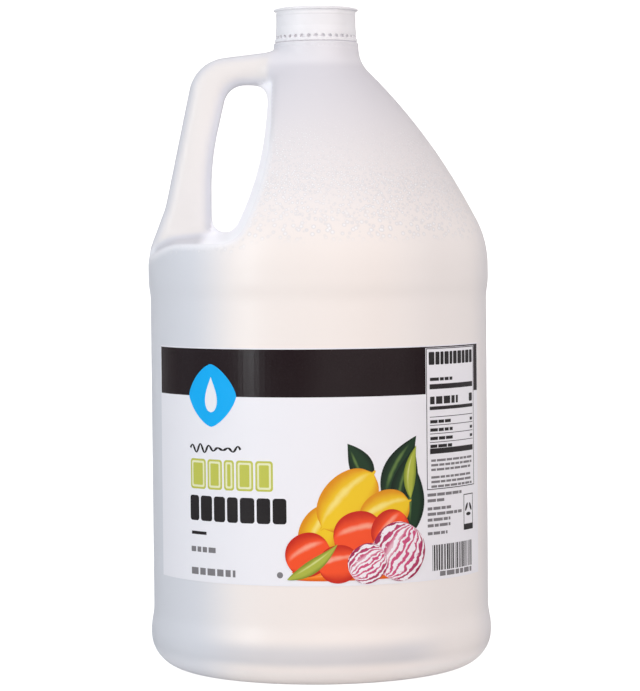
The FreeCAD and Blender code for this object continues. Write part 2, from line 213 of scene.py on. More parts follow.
def jug_distance(x, y, z):
    """Distance to the jug's outer face, negative inside.

    Body: the table of the turned outline at the point's radius and height.  Grip: its
    outline swept across the middle plane with round edges.  The recess is taken out
    with a soft lip and the grip is added with soft blends at its ends.
    """
    radius = np.hypot(x, y)
    body = soft_max(look_up(BODY, radius, z), -recess_distance(x, y, z), LIP_BLEND)
    flat = look_up(GRIP, x, z) + GRIP_EDGE
    deep = np.abs(y) - GRIP_HALF_DEPTH + GRIP_EDGE
    grip = (np.minimum(np.maximum(flat, deep), 0)
            + np.hypot(np.maximum(flat, 0), np.maximum(deep, 0)) - GRIP_EDGE)
    grip = soft_max(grip, radius - HIGH_BUMPER, 1.5)
    tight, wide = GRIP_BLEND
    share = step_between(x, -76.0, -62.0) * step_between(LEDGE_HEIGHT - z, 0, 9)
    return soft_min(body, grip, tight + (wide - tight) * share)


def level_surface(distance, low, high, cell):
    """Points and squares of the surface where a distance is nought, facing outwards.

    Space is cut into cells.  Each cell that the surface passes through gets one point,
    the mean of the crossings on its edges; each grid edge that is crossed gets the
    square of its four cells' points.  Then every point is drawn towards the mean of
    its neighbours and moved back along the slope to where the distance is nought.
    """
    axes = [np.arange(a, b + cell, cell) for a, b in zip(low, high)]
    value = distance(*np.meshgrid(*axes, indexing="ij"))
    shape = tuple(n - 1 for n in value.shape)
    total = np.zeros(shape + (3,))
    count = np.zeros(shape)
    crossed = []
    for axis in range(3):
        lower = [slice(None)] * 3
        upper = [slice(None)] * 3
        lower[axis] = slice(None, -1)
        upper[axis] = slice(1, None)
        one, two = value[tuple(lower)], value[tuple(upper)]
        edges = np.argwhere((one < 0) != (two < 0))
        start = one[tuple(edges.T)]
        end = two[tuple(edges.T)]
        place = edges.astype(float)
        place[:, axis] += start / (start - end)
        others = [n for n in range(3) if n != axis]
        for back_a in (0, 1):
            for back_b in (0, 1):
                cells = edges.copy()
                cells[:, others[0]] -= back_a
                cells[:, others[1]] -= back_b
                np.add.at(total, tuple(cells.T), place)
                np.add.at(count, tuple(cells.T), 1)
        crossed.append((axis, edges, start < 0))
    cells = count > 0
    number = np.full(shape, -1)
    number[cells] = np.arange(cells.sum())
    points = np.array(low) + cell * total[cells] / count[cells][:, None]
    squares = []
    for axis, edges, starts_inside in crossed:
        step_a = np.eye(3, dtype=int)[(axis + 1) % 3]
        step_b = np.eye(3, dtype=int)[(axis + 2) % 3]
        ring = [edges - step_a - step_b, edges - step_b, edges, edges - step_a]
        square = np.stack([number[tuple(part.T)] for part in ring], axis=1)
        squares.append(np.where(starts_inside[:, None], square, square[:, ::-1]))
    squares = np.concatenate(squares)
    for share in SMOOTHING:
        mean = np.zeros_like(points)
        shared = np.zeros(len(points))
        for corner in range(4):
            following = squares[:, (corner + 1) % 4]
            for one, two in ((squares[:, corner], following), (following, squares[:, corner])):
                for part in range(3):
                    mean[:, part] += np.bincount(one, points[two, part], len(points))
                shared += np.bincount(one, minlength=len(points))
        points += share * (mean / shared[:, None] - points)
        here = distance(*points.T)
        small = 0.05
        slope = np.stack([
            (distance(*(points + small * way).T) - distance(*(points - small * way).T))
            for way in np.eye(3)], axis=1) / (2 * small)
        steep = np.maximum((slope ** 2).sum(1), 0.2)
        points -= slope * (np.clip(here, -cell, cell) / steep)[:, None]
    return points, squares


# ---------------------------------------------------------------- meshes
def new_piece(name, parts, smooth=True, marks=None):
    """An object of one mesh, from (points in millimetres, faces) parts put together."""
    points, faces, start = [], [], 0
    for part_points, part_faces in parts:
        points.append(np.asarray(part_points, float) * MM)
        faces.append(np.asarray(part_faces) + start)
        start += len(part_points)
    points = np.concatenate(points)
    faces = np.concatenate(faces)
    mesh = bpy.data.meshes.new(name)
    mesh.vertices.add(len(points))
    mesh.vertices.foreach_set("co", points.ravel())
    mesh.loops.add(faces.size)
    mesh.loops.foreach_set("vertex_index", faces.ravel())
    mesh.polygons.add(len(faces))
    mesh.polygons.foreach_set("loop_start", np.arange(0, faces.size, 4))
    mesh.polygons.foreach_set("loop_total", np.full(len(faces), 4))
    mesh.update(calc_edges=True)
    if marks is not None:
        layer = mesh.uv_layers.new(name="along")
        layer.data.foreach_set("uv", np.concatenate(marks)[faces.ravel()].ravel())
    work = bmesh.new()
    work.from_mesh(mesh)
    bmesh.ops.remove_doubles(work, verts=work.verts, dist=2e-6)
    work.to_mesh(mesh)
    work.free()
    mesh.polygons.foreach_set("use_smooth", np.full(len(mesh.polygons), smooth))
    mesh.update()
    piece = bpy.data.objects.new(name, mesh)
    bpy.context.scene.collection.objects.link(piece)
    return piece


def turned(profile, sides=96):
    """A closed profile (radius, height) carried once round the Z axis."""
    profile = np.asarray(profile, float)
    angle = np.linspace(0, 2 * np.pi, sides, endpoint=False)[:, None]
    radius, height = profile.T
    points = np.stack([radius * np.cos(angle), radius * np.sin(angle),
                       height + 0 * angle], axis=-1).reshape(-1, 3)
    turn, step = np.meshgrid(np.arange(sides), np.arange(len(profile)), indexing="ij")
    here = turn * len(profile)
    there = (turn + 1) % sides * len(profile)
    after = (step + 1) % len(profile)
    faces = np.stack([here + step, there + step, there + after, here + after], axis=-1)
    return points, faces.reshape(-1, 4)


def finish(piece, material, slot, *nodes):
    """Gives a piece its material and body, and hides the nodes that it stands for; the slot is
    not used.
    """
    piece.data.materials.clear()
    piece.data.materials.append(material)
    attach(piece, "root")
    if nodes:
        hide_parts(*nodes)


# ---------------------------------------------------------------- material helpers
def new_material(name):
    """A material with its node tree and its Principled shader."""
    material = bpy.data.materials.new(name)
    material.use_nodes = True
    tree = material.node_tree
    return material, tree, tree.nodes["Principled BSDF"]


def add(tree, kind, **values):
    """A node; values are its properties or, for names with in_, its inputs."""
    node = tree.nodes.new(kind)
    for key, value in values.items():
        if key.startswith("in_"):
            node.inputs[key[3:].replace("_", " ")].default_value = value
        else:
            setattr(node, key, value)
    return node


def math_node(tree, operation, one, two=None, clamp=False):
    """One sum on two values, each a socket or a number."""
    node = add(tree, "ShaderNodeMath", operation=operation, use_clamp=clamp)
    for index, value in enumerate((one, two)):
        if value is None:
            continue
        if isinstance(value, (int, float)):
            node.inputs[index].default_value = value
        else:
            tree.links.new(value, node.inputs[index])
    return node.outputs[0]


def ramp(tree, value, start, end, low=0.0, high=1.0):
    """A smooth step of a value from start to end."""
    node = add(tree, "ShaderNodeMapRange", interpolation_type="SMOOTHSTEP")
    node.inputs["From Min"].default_value = start
    node.inputs["From Max"].default_value = end
    node.inputs["To Min"].default_value = low
    node.inputs["To Max"].default_value = high
    tree.links.new(value, node.inputs["Value"])
    return node.outputs[0]


def mixed(tree, share, one, two, blend="MIX"):
    """A mix of two colours, each a socket or a colour."""
    node = add(tree, "ShaderNodeMix", data_type="RGBA", blend_type=blend)
    if isinstance(share, (int, float)):
        node.inputs["Factor"].default_value = share
    else:
        tree.links.new(share, node.inputs["Factor"])
    for socket, value in ((node.inputs[6], one), (node.inputs[7], two)):
        if isinstance(value, tuple):
            socket.default_value = value + (1.0,)
        else:
            tree.links.new(value, socket)
    return node.outputs[2]


def object_place(tree):
    """Object coordinates in metres, whole and as X, Y and Z."""
    place = add(tree, "ShaderNodeTexCoord").outputs["Object"]
    parts = add(tree, "ShaderNodeSeparateXYZ")
    tree.links.new(place, parts.inputs[0])
    return place, parts.outputs[0], parts.outputs[1], parts.outputs[2]


def noise(tree, place, scale, detail=2.0, rough=0.5):
    """Soft noise from nought to one at a scale in cycles a metre."""
    node = add(tree, "ShaderNodeTexNoise", in_Scale=scale, in_Detail=detail,
               in_Roughness=rough)
    tree.links.new(place, node.inputs["Vector"])
    return node.outputs["Fac"]


def new_group(name, inputs, outputs):
    """A shader node group with named sockets: its tree, its inputs and its outputs."""
    tree = bpy.data.node_groups.new(name, "ShaderNodeTree")
    for label, kind in inputs:
        tree.interface.new_socket(label, in_out="INPUT", socket_type="NodeSocket" + kind)
    for label, kind in outputs:
        tree.interface.new_socket(label, in_out="OUTPUT", socket_type="NodeSocket" + kind)
    return tree, add(tree, "NodeGroupInput").outputs, add(tree, "NodeGroupOutput").inputs


def placed(tree, group, **values):
    """A node that holds a group; each value is a socket, a number or a colour."""
    node = add(tree, "ShaderNodeGroup", node_tree=group)
    for key, value in values.items():
        socket = node.inputs[key.replace("_", " ")]
        if isinstance(value, tuple):
            socket.default_value = value + (1.0,)
        elif isinstance(value, (int, float)):
            socket.default_value = value
        else:
            tree.links.new(value, socket)
    return node.outputs


# ---------------------------------------------------------------- shared effects
def cloudy_group():
    """Clouds in thin plastic: a second tone comes in with soft noise, and dulls it."""
    tree, given, out = new_group(
        "cloudy_plastic",
        [("Tone", "Color"), ("Cloud Tone", "Color"), ("Amount", "Float"),
         ("Cloud Scale", "Float"), ("Roughness", "Float")],
        [("Tone", "Color"), ("Roughness", "Float")])
    place = object_place(tree)[0]
    cloud = add(tree, "ShaderNodeTexNoise", in_Detail=3.0)
    tree.links.new(place, cloud.inputs["Vector"])
    tree.links.new(given["Cloud Scale"], cloud.inputs["Scale"])
    share = math_node(tree, "MULTIPLY", cloud.outputs["Fac"], given["Amount"])
    tree.links.new(mixed(tree, share, given["Tone"], given["Cloud Tone"]), out["Tone"])
    dull = math_node(tree, "MULTIPLY", cloud.outputs["Fac"], 0.1)
    tree.links.new(math_node(tree, "ADD", given["Roughness"], dull), out["Roughness"])
    return tree


def print_group():
    """Ink on film: fine grain and faint clouds let the film's paler tone through."""
    tree, given, out = new_group(
        "print_grain",
        [("Ink", "Color"), ("Film", "Color"), ("Wear", "Float"), ("Roughness", "Float")],
        [("Ink", "Color"), ("Roughness", "Float"), ("Grain", "Float")])
    place = object_place(tree)[0]
    fine = noise(tree, place, 1300.0, 2.0, 0.7)
    cloud = noise(tree, place, 35.0, 3.0)
    share = math_node(tree, "MULTIPLY", math_node(tree, "ADD", fine, cloud), given["Wear"])
    tree.links.new(mixed(tree, share, given["Ink"], given["Film"]), out["Ink"])
    uneven = math_node(tree, "MULTIPLY", math_node(tree, "SUBTRACT", fine, 0.5), 0.14)
    tree.links.new(math_node(tree, "ADD", uneven, given["Roughness"]), out["Roughness"])
    tree.links.new(fine, out["Grain"])
    return tree


def fruit_group():
    """Printed fruit: darker at its edges, striped if asked, with a pale gleam.

    The map runs 0 to 1 along the shape and 0 to 1 across it.
    """
    tree, given, out = new_group(
        "fruit_shading",
        [("Map", "Vector"), ("Flesh", "Color"), ("Edge", "Color"), ("Gleam", "Color"),
         ("Stripe", "Color"), ("Stripes", "Float")],
        [("Tone", "Color"), ("Roughness", "Float")])
    parts = add(tree, "ShaderNodeSeparateXYZ")
    tree.links.new(given["Map"], parts.inputs[0])
    soft = noise(tree, object_place(tree)[0], 160.0, 4.0)
    across = math_node(tree, "ABSOLUTE", math_node(tree, "SUBTRACT", parts.outputs[1], 0.5))
    ragged = math_node(tree, "MULTIPLY", soft, 0.12)
    edge = ramp(tree, math_node(tree, "ADD", across, ragged), 0.24, 0.56)
    tone = mixed(tree, edge, given["Flesh"], given["Edge"])
    wave = add(tree, "ShaderNodeTexWave", wave_type="BANDS", bands_direction="Y",
               in_Scale=2.6, in_Distortion=7.0, in_Detail=4.0, in_Detail_Scale=2.6)
    tree.links.new(given["Map"], wave.inputs["Vector"])
    lines = math_node(tree, "MULTIPLY", ramp(tree, wave.outputs["Fac"], 0.40, 0.62),
                      given["Stripes"])
    tone = mixed(tree, lines, tone, given["Stripe"])
    gleam = math_node(tree, "ABSOLUTE", math_node(tree, "SUBTRACT", parts.outputs[1], 0.66))
    gleam = ramp(tree, math_node(tree, "ADD", gleam, ragged), 0.16, 0.05)
    middle = math_node(tree, "ABSOLUTE", math_node(tree, "SUBTRACT", parts.outputs[0], 0.5))
    gleam = math_node(tree, "MULTIPLY", gleam, ramp(tree, middle, 0.38, 0.12))
    gleam = math_node(tree, "MULTIPLY", gleam, 0.55)
    tree.links.new(mixed(tree, gleam, tone, given["Gleam"]), out["Tone"])
    tree.links.new(math_node(tree, "ADD", 0.36, math_node(tree, "MULTIPLY", soft, 0.12)),
                   out["Roughness"])
    return tree


CLOUDY = cloudy_group()
PRINT = print_group()
FRUIT = fruit_group()


# ---------------------------------------------------------------- materials
LIQUID_TONE = (0.895, 0.845, 0.815)    # over the liquid, towards the sides
MIDDLE_LIT_TONE = (0.885, 0.815, 0.77)     # over the liquid, in the middle: painted warm light from the front
AIR_LOW_TONE = (0.86, 0.81, 0.79)      # over the air, just above the liquid: a little painted shade
AIR_HIGH_SHADE = (0.69, 0.675, 0.715)   # over the air, at the top of the shoulder: painted shade of the empty inside
# painted shade on the neck, a little lighter than the top of the shoulder
NECK_TONE = (0.77, 0.755, 0.79)
CLOUD_TONE = (0.75, 0.74, 0.78)
SHADE_TINT = (0.80, 0.86, 0.94)        # painted shade on the grip's side
FAR_SIDE_SHADE = (0.90, 0.92, 0.96)          # painted shade on the side away from the grip
FOOT_SHADE = (0.79, 0.825, 0.88)        # painted shade in a band just above the foot
GRIP_TONE = (0.80, 0.765, 0.745)
RIM_SHADE_TONE = (0.68, 0.695, 0.76)         # painted shade along the grip's edges
WALL_LIT_TONE = (0.93, 0.93, 0.96)         # painted light: recess beside the hole, and its lip, made paler
RECESS_SHADE_TONE = (0.68, 0.675, 0.72)       # painted shade on the recess floor outside the grip
# painted highlight in the middle of each drop
DROP_HIGHLIGHT_TONE = (0.98, 0.97, 0.97)
WET_TONE = (0.70, 0.685, 0.70)
# painted light: a glow as if light came through the plastic
PAINTED_GLOW = (0.16, 0.155, 0.16)
CAP_TONE = (0.78, 0.77, 0.79)
CAP_CLOUD_TONE = (0.86, 0.85, 0.87)
SKIRT_TONE = (0.74, 0.73, 0.75)
# painted light: a faint glow all over the cap
CAP_PAINTED_GLOW = (0.9, 0.9, 0.93)

# heights in metres, as Object coordinates give them
FILL_LINE = FILL_LEVEL * MM
NECK_LINE = NECK_ROOT * MM
LEDGE_LINE = LEDGE_HEIGHT * MM
SKIRT_LINE = 0.2854
BEAD_LINE = 0.2937                     # the faint bead round the cap

# size of a drop's cell, and from and to above the liquid, in metres
DROP_BANDS = ((0.0013, 0.017, 0.059), (0.0018, 0.007, 0.041), (0.0025, -0.001, 0.022))


def own_value(tree, name):
    """A value from nought to one that the mesh itself carries."""
    return add(tree, "ShaderNodeAttribute", attribute_name=name).outputs["Fac"]


def drops(tree, place, cell):
    """Discs about the points of a cell pattern, and the smaller discs in their middles, which
    take the painted highlights.
    """
    node = add(tree, "ShaderNodeTexVoronoi", feature="F1", in_Scale=1.0 / cell,
               in_Randomness=0.9)
    tree.links.new(place, node.inputs["Vector"])
    away = node.outputs["Distance"]
    return ramp(tree, away, 0.50, 0.34), ramp(tree, away, 0.30, 0.14)


def beaded(tree, tone, wet):
    """Condensation on a tone: grey rings with painted highlights in their middles, in bands of
    drop sizes.

    Fine drops stand high above the liquid and coarse ones just over it; soft noise
    thins them in patches, and they reach a little lower on the side of the recess.
    """
    place, x, _, z = object_place(tree)
    z = math_node(tree, "ADD", z, ramp(tree, x, -0.027, -0.036, 0.0, 0.006))
    patches = ramp(tree, noise(tree, place, 26.0), 0.34, 0.58, 0.4, 1.0)
    wet = math_node(tree, "MULTIPLY", wet, patches)
    relief = 0.0
    for cell, low, high in DROP_BANDS:
        low += FILL_LINE
        high += FILL_LINE
        band = math_node(tree, "MULTIPLY", ramp(tree, z, low, low + 0.007),
                         ramp(tree, z, high, high - 0.018))
        band = math_node(tree, "MULTIPLY", band, wet)
        disc, middle = drops(tree, place, cell)
        disc = math_node(tree, "MULTIPLY", disc, band)
        middle = math_node(tree, "MULTIPLY", middle, band)
        tone = mixed(tree, math_node(tree, "MULTIPLY", disc, 0.6), tone, WET_TONE)
        # Painted highlight in the middle of each drop.
        tone = mixed(tree, math_node(tree, "MULTIPLY", middle, 0.75), tone, DROP_HIGHLIGHT_TONE)
        relief = math_node(tree, "MAXIMUM", disc, relief)
    return tone, relief


def milky_tone(tree):
    """The plastic's tone by height and side, with painted light and shade: warm over the liquid
    and warmer in its middle, painted greyer over the air, painted shade on both sides and above
    the foot.
    """
    _, x, _, z = object_place(tree)
    beside = math_node(tree, "ABSOLUTE", x)
    # Painted shade: greyer over the empty inside, going darker up to the top of the shoulder.
    tone = mixed(tree, ramp(tree, z, FILL_LINE + 0.005, NECK_LINE + 0.0027),
                 AIR_LOW_TONE, AIR_HIGH_SHADE)
    tone = mixed(tree, ramp(tree, z, NECK_LINE - 0.0033, NECK_LINE + 0.0007), tone, NECK_TONE)
    # Painted light: over the liquid the plastic is warmer near the middle, by the size of x.
    warm = mixed(tree, ramp(tree, beside, 0.048, 0.022), LIQUID_TONE, MIDDLE_LIT_TONE)
    tone = mixed(tree, ramp(tree, z, FILL_LINE - 0.006, FILL_LINE + 0.024), warm, tone)
    # Painted shade: darker and bluer on the grip's side, up to just over the level.
    cool = math_node(tree, "MULTIPLY", ramp(tree, x, -0.033, -0.057),
                     ramp(tree, z, FILL_LINE + 0.007, FILL_LINE + 0.001))
    tone = mixed(tree, cool, tone, SHADE_TINT, "MULTIPLY")
    # Painted shade towards the side away from the grip.
    tone = mixed(tree, ramp(tree, x, 0.066, 0.077), tone, FAR_SIDE_SHADE, "MULTIPLY")
    # Painted shade in a band from 8 to 22 mm up, away from the sides.
    foot = math_node(tree, "MULTIPLY", ramp(tree, z, 0.008, 0.012), ramp(tree, z, 0.022, 0.015))
    foot = math_node(tree, "MULTIPLY", foot, ramp(tree, beside, 0.060, 0.034))
    return mixed(tree, foot, tone, FOOT_SHADE, "MULTIPLY")


def plastic_material():
    """Milky polyethylene: toned by height with painted light and shade, beaded over the air, with
    painted shade on the grip's edges and the recess floor, and painted light and glow on the
    recess wall and lip.
    """
    material, tree, shader = new_material("milky_plastic")
    place, x, _, z = object_place(tree)
    on_grip = own_value(tree, "grip_face")
    on_wall = own_value(tree, "recess_wall")
    lip = math_node(tree, "MULTIPLY", own_value(tree, "recess_lip"), 0.6)
    rim = math_node(tree, "MULTIPLY", own_value(tree, "grip_rim"), 0.6)
    by_hole = ramp(tree, x, -0.054, -0.047)

    dry = math_node(tree, "MAXIMUM", on_grip, on_wall)
    wet = math_node(tree, "MULTIPLY", ramp(tree, z, FILL_LINE - 0.0065, FILL_LINE - 0.0025),
                    math_node(tree, "SUBTRACT", 1.0, dry, clamp=True))
    tone, relief = beaded(tree, milky_tone(tree), wet)
    tone = mixed(tree, on_grip, tone, GRIP_TONE)
    # Painted shade along the grip's edges.
    tone = mixed(tree, rim, tone, RIM_SHADE_TONE)
    # Painted shade on the recess floor away from the hole; painted light on the recess wall by
    # the hole and on the lip.
    tone = mixed(tree, on_wall, tone, mixed(tree, by_hole, RECESS_SHADE_TONE, WALL_LIT_TONE))
    tone = mixed(tree, lip, tone, WALL_LIT_TONE)
    clouds = placed(tree, CLOUDY, Tone=tone, Cloud_Tone=CLOUD_TONE, Amount=0.05,
                    Cloud_Scale=28.0, Roughness=0.28)
    tree.links.new(clouds["Tone"], shader.inputs["Base Color"])
    tree.links.new(clouds["Roughness"], shader.inputs["Roughness"])

    grain = math_node(tree, "MULTIPLY", noise(tree, place, 900.0), 0.03)
    waves = math_node(tree, "MULTIPLY", noise(tree, place, 45.0), 0.5)
    height = math_node(tree, "ADD", math_node(tree, "ADD", grain, waves),
                       math_node(tree, "MULTIPLY", relief, 0.35))
    bump = add(tree, "ShaderNodeBump", in_Strength=0.25, in_Distance=0.0006)
    tree.links.new(height, bump.inputs["Height"])
    tree.links.new(bump.outputs[0], shader.inputs["Normal"])

    # Painted light: the recess wall by the hole, its lip, the mouth over the ledge and the foot
    # glow as if lit through the plastic.
    glow = math_node(tree, "MAXIMUM", math_node(tree, "MULTIPLY", on_wall, by_hole),
                     math_node(tree, "MULTIPLY", lip, 0.6))
    for share in (ramp(tree, z, LEDGE_LINE - 0.0001, LEDGE_LINE + 0.0001, 0.0, 2.4),
                  ramp(tree, z, 0.013, 0.005, 0.0, 0.9)):
        glow = math_node(tree, "MAXIMUM", glow, share)
    tree.links.new(mixed(tree, glow, (0.0, 0.0, 0.0), PAINTED_GLOW), shader.inputs["Emission Color"])
    shader.inputs["Emission Strength"].default_value = 1.0
    shader.inputs["IOR"].default_value = 1.54
    shader.inputs["Specular IOR Level"].default_value = 0.22
    return material


def cap_material():
    """The cap's cloudy plastic, a little greyer at the foot of its skirt, with a faint painted
    glow.
    """
    material, tree, shader = new_material("cap_plastic")
    z = object_place(tree)[3]
    low = ramp(tree, z, SKIRT_LINE + 0.0008, SKIRT_LINE - 0.0008, 0.0, 0.5)
    clouds = placed(tree, CLOUDY, Tone=mixed(tree, low, CAP_TONE, SKIRT_TONE),
                    Cloud_Tone=CAP_CLOUD_TONE, Amount=1.0, Cloud_Scale=90.0, Roughness=0.38)
    tree.links.new(clouds["Tone"], shader.inputs["Base Color"])
    tree.links.new(clouds["Roughness"], shader.inputs["Roughness"])
    bead = math_node(tree, "ABSOLUTE", math_node(tree, "SUBTRACT", z, BEAD_LINE))
    bump = add(tree, "ShaderNodeBump", in_Strength=0.3, in_Distance=0.0005)
    tree.links.new(ramp(tree, bead, 0.0007, 0.0), bump.inputs["Height"])
    tree.links.new(bump.outputs[0], shader.inputs["Normal"])
    shader.inputs["Specular IOR Level"].default_value = 0.25
    # Painted light: a faint glow all over the cap.
    shader.inputs["Emission Color"].default_value = CAP_PAINTED_GLOW + (1.0,)
    shader.inputs["Emission Strength"].default_value = 0.05
    return material


def vinegar_material():
    """Clear liquid with the faintest warm tone."""
    material, tree, shader = new_material("clear_vinegar")
    place = object_place(tree)[0]
    tone = mixed(tree, noise(tree, place, 12.0), (0.97, 0.955, 0.93), (0.985, 0.975, 0.96))
    tree.links.new(tone, shader.inputs["Base Color"])
    shader.inputs["Roughness"].default_value = 0.02
    shader.inputs["IOR"].default_value = 1.34
    shader.inputs["Transmission Weight"].default_value = 1.0
    return material


def ink_material(name, colour, rough=0.45, wear=0.03, gloss=0.12):
    """Ink on film: one colour with a fine uneven grain and a soft gloss."""
    material, tree, shader = new_material(name)
    paler = tuple(channel + 0.35 * (1 - channel) for channel in colour)
    ink = placed(tree, PRINT, Ink=colour, Film=paler, Wear=wear, Roughness=rough)
    tree.links.new(ink["Ink"], shader.inputs["Base Color"])
    tree.links.new(ink["Roughness"], shader.inputs["Roughness"])
    bump = add(tree, "ShaderNodeBump", in_Strength=0.10, in_Distance=0.0002)
    tree.links.new(ink["Grain"], bump.inputs["Height"])
    tree.links.new(bump.outputs[0], shader.inputs["Normal"])
    shader.inputs["Specular IOR Level"].default_value = gloss
    return material


def fruit_material(name, flesh, edge, gleam, stripe=None):
    """Printed fruit, shaded over the piece's own map."""
    material, tree, shader = new_material(name)
    own = add(tree, "ShaderNodeUVMap", uv_map="along").outputs[0]
    fruit = placed(tree, FRUIT, Map=own, Flesh=flesh, Edge=edge, Gleam=gleam,
                   Stripe=stripe or flesh, Stripes=1.0 if stripe else 0.0)
    tree.links.new(fruit["Tone"], shader.inputs["Base Color"])
    tree.links.new(fruit["Roughness"], shader.inputs["Roughness"])
    shader.inputs["Specular IOR Level"].default_value = 0.2
    return material


# ---------------------------------------------------------------- jug, liquid, cap
def mark_faces(mesh):
    """Values on the mesh that tell grip, grip edge, recess wall and recess lip apart.

    Each is a smooth step of a distance: a point on the wall or floor of the recess lies
    inside the turned body; one on the grip lies in the recess and inside the grip's
    outline, and on its rim near that outline; one on the lip is near both the body's
    surface and the recess's.
    """
    places = np.empty(len(mesh.vertices) * 3)
    mesh.vertices.foreach_get("co", places)
    x, y, z = places.reshape(-1, 3).T / MM
    body = look_up(BODY, np.hypot(x, y), z)
    recess = recess_distance(x, y, z)
    grip = look_up(GRIP, x, z)
    on_grip = step_between(-grip, -0.8, 0.2) * step_between(-recess, 0.5, 3.0)
    on_wall = step_between(-body, 0.6, 2.4) * (1 - on_grip)
    on_wall *= step_between(LEDGE_HEIGHT - z, 8.0, 14.0)
    rim = on_grip * step_between(grip, -4.2, -0.8)
    lip = step_between(-np.abs(recess), -3.0, -0.6) * step_between(-np.abs(body), -3.0, -0.6)
    lip *= step_between(LEDGE_HEIGHT - z, 31.2, 56.2)
    values = {"grip_face": on_grip, "grip_rim": rim, "recess_wall": on_wall, "recess_lip": lip}
    for name, value in values.items():
        mesh.attributes.new(name, "FLOAT", "POINT").data.foreach_set("value", value)


def open_shell(offset, cell, top):
    """The jug's surface moved in by an offset, cut level and left open at a height."""
    def distance(x, y, z):
        """The greater of the moved distance and the height over the cut."""
        return np.maximum(jug_distance(x, y, z) + offset, z - top)

    points, squares = level_surface(distance, (-80.0, -80.0, -3.0), (80.0, 80.0, 284.0), cell)
    on_top = (points[squares, 2] > top - 0.05).all(axis=1)
    return points, squares[~on_top]


def mouth_ring():
    """The turned ledge and mouth: it comes out of the neck along the neck's own lean."""
    reach = 3.6
    root = LEDGE_HEIGHT - reach
    tuck = 0.03
    lean = (NECK_RADIUS - LEDGE_RADIUS) / (LEDGE_HEIGHT - NECK_ROOT)
    bore = MOUTH_RADIUS - WALL
    inner = LEDGE_RADIUS - WALL / 2
    return turned(rounded([
        (inner, root, 0.0),
        (LEDGE_RADIUS + lean * reach - 3 * tuck, root, 0.0),
        (LEDGE_RADIUS + lean * (reach - 1.0) - tuck, root + 1.0, 0.0),
        (LEDGE_RADIUS + lean * (reach - 2.6) + tuck, root + 2.6, 0.0),
        (LEDGE_RADIUS + tuck, LEDGE_HEIGHT, 0.8),
        (MOUTH_RADIUS, LEDGE_HEIGHT, 0.4),
        (MOUTH_RADIUS, MOUTH_TOP, 0.5),
        (bore, MOUTH_TOP, 0.4),
        (bore, LEDGE_HEIGHT - WALL, 1.0),
        (inner, LEDGE_HEIGHT - WALL, 0.0),
    ]), 128)


def make_jug():
    """The hollow jug: outer face, inner face a wall's thickness in, and the mouth."""
    top = LEDGE_HEIGHT - WALL / 2
    outside = open_shell(0.0, OUTSIDE_CELL, top)
    points, squares = open_shell(WALL, INSIDE_CELL, top)
    inside = (points, squares[:, ::-1])
    shell = new_piece("jug_shell", [outside, inside, mouth_ring()])
    mark_faces(shell.data)
    return shell


def make_vinegar():
    """The liquid, a tenth of a millimetre into the wall, level at the top."""
    def liquid(x, y, z):
        """The greater of the inner face's distance and the height over the level."""
        return soft_max(jug_distance(x, y, z) + WALL - VINEGAR_TUCK, z - FILL_LEVEL, 1.0)

    surface = level_surface(liquid, (-78.0, -78.0, -2.0), (78.0, 78.0, 195.0), VINEGAR_CELL)
    return new_piece("vinegar_liquid", [surface])


plastic = plastic_material()
finish(make_jug(), plastic, "jug_plastic", "jug")
finish(make_vinegar(), vinegar_material(), "vinegar", "vinegar")
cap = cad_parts["cap"]
cap.data.materials.clear()
cap.data.materials.append(cap_material())


# ---------------------------------------------------------------- print on the label
def plate(arc, height, layer):
    """A thin closed plate on the label: a grid of (arc, height) bent round its side.

    An arc length becomes the angle arc / radius from the front; the outer face lies
    layer lifts above the label and the inner face on it.
    """
    area = (np.roll(arc, -1, 0) - arc)[:-1, :-1] * (np.roll(height, -1, 1) - height)[:-1, :-1]
    cross = (np.roll(height, -1, 0) - height)[:-1, :-1] * (np.roll(arc, -1, 1) - arc)[:-1, :-1]
    if (area - cross).sum() < 0:
        arc, height = arc[:, ::-1], height[:, ::-1]
    rows, columns = arc.shape
    angle = arc / LABEL_RADIUS
    shells = []
    for radius in (LABEL_RADIUS + PRINT_LIFT * layer, LABEL_RADIUS - 0.01):
        shells.append(np.stack([radius * np.sin(angle), -radius * np.cos(angle), height],
                               axis=-1).reshape(-1, 3))
    number = np.arange(rows * columns).reshape(rows, columns)
    front = np.stack([number[:-1, :-1], number[1:, :-1], number[1:, 1:], number[:-1, 1:]],
                     axis=-1).reshape(-1, 4)
    rim = np.concatenate([number[:-1, 0], number[-1, :-1], number[:0:-1, -1], number[0, :0:-1]])
    after = np.roll(rim, -1)
    behind = rows * columns
    walls = np.stack([rim, rim + behind, after + behind, after], axis=1)
    marks = np.stack(np.meshgrid(np.linspace(0, 1, rows), np.linspace(0, 1, columns),
                                 indexing="ij"), axis=-1).reshape(-1, 2)
    faces = np.concatenate([front, front[:, ::-1] + behind, walls])
    return np.concatenate(shells), faces, np.concatenate([marks, marks])


def ribbon(arc, height, half, layer, columns=9):
    """A plate along a line (arc, height), with a half width at each of its points."""
    along = np.stack([np.gradient(arc), np.gradient(height)], axis=1)
    along /= np.linalg.norm(along, axis=1)[:, None]
    across = np.linspace(-1, 1, columns)
    return plate(arc[:, None] - along[:, 1:] * half[:, None] * across,
                 height[:, None] + along[:, :1] * half[:, None] * across, layer)


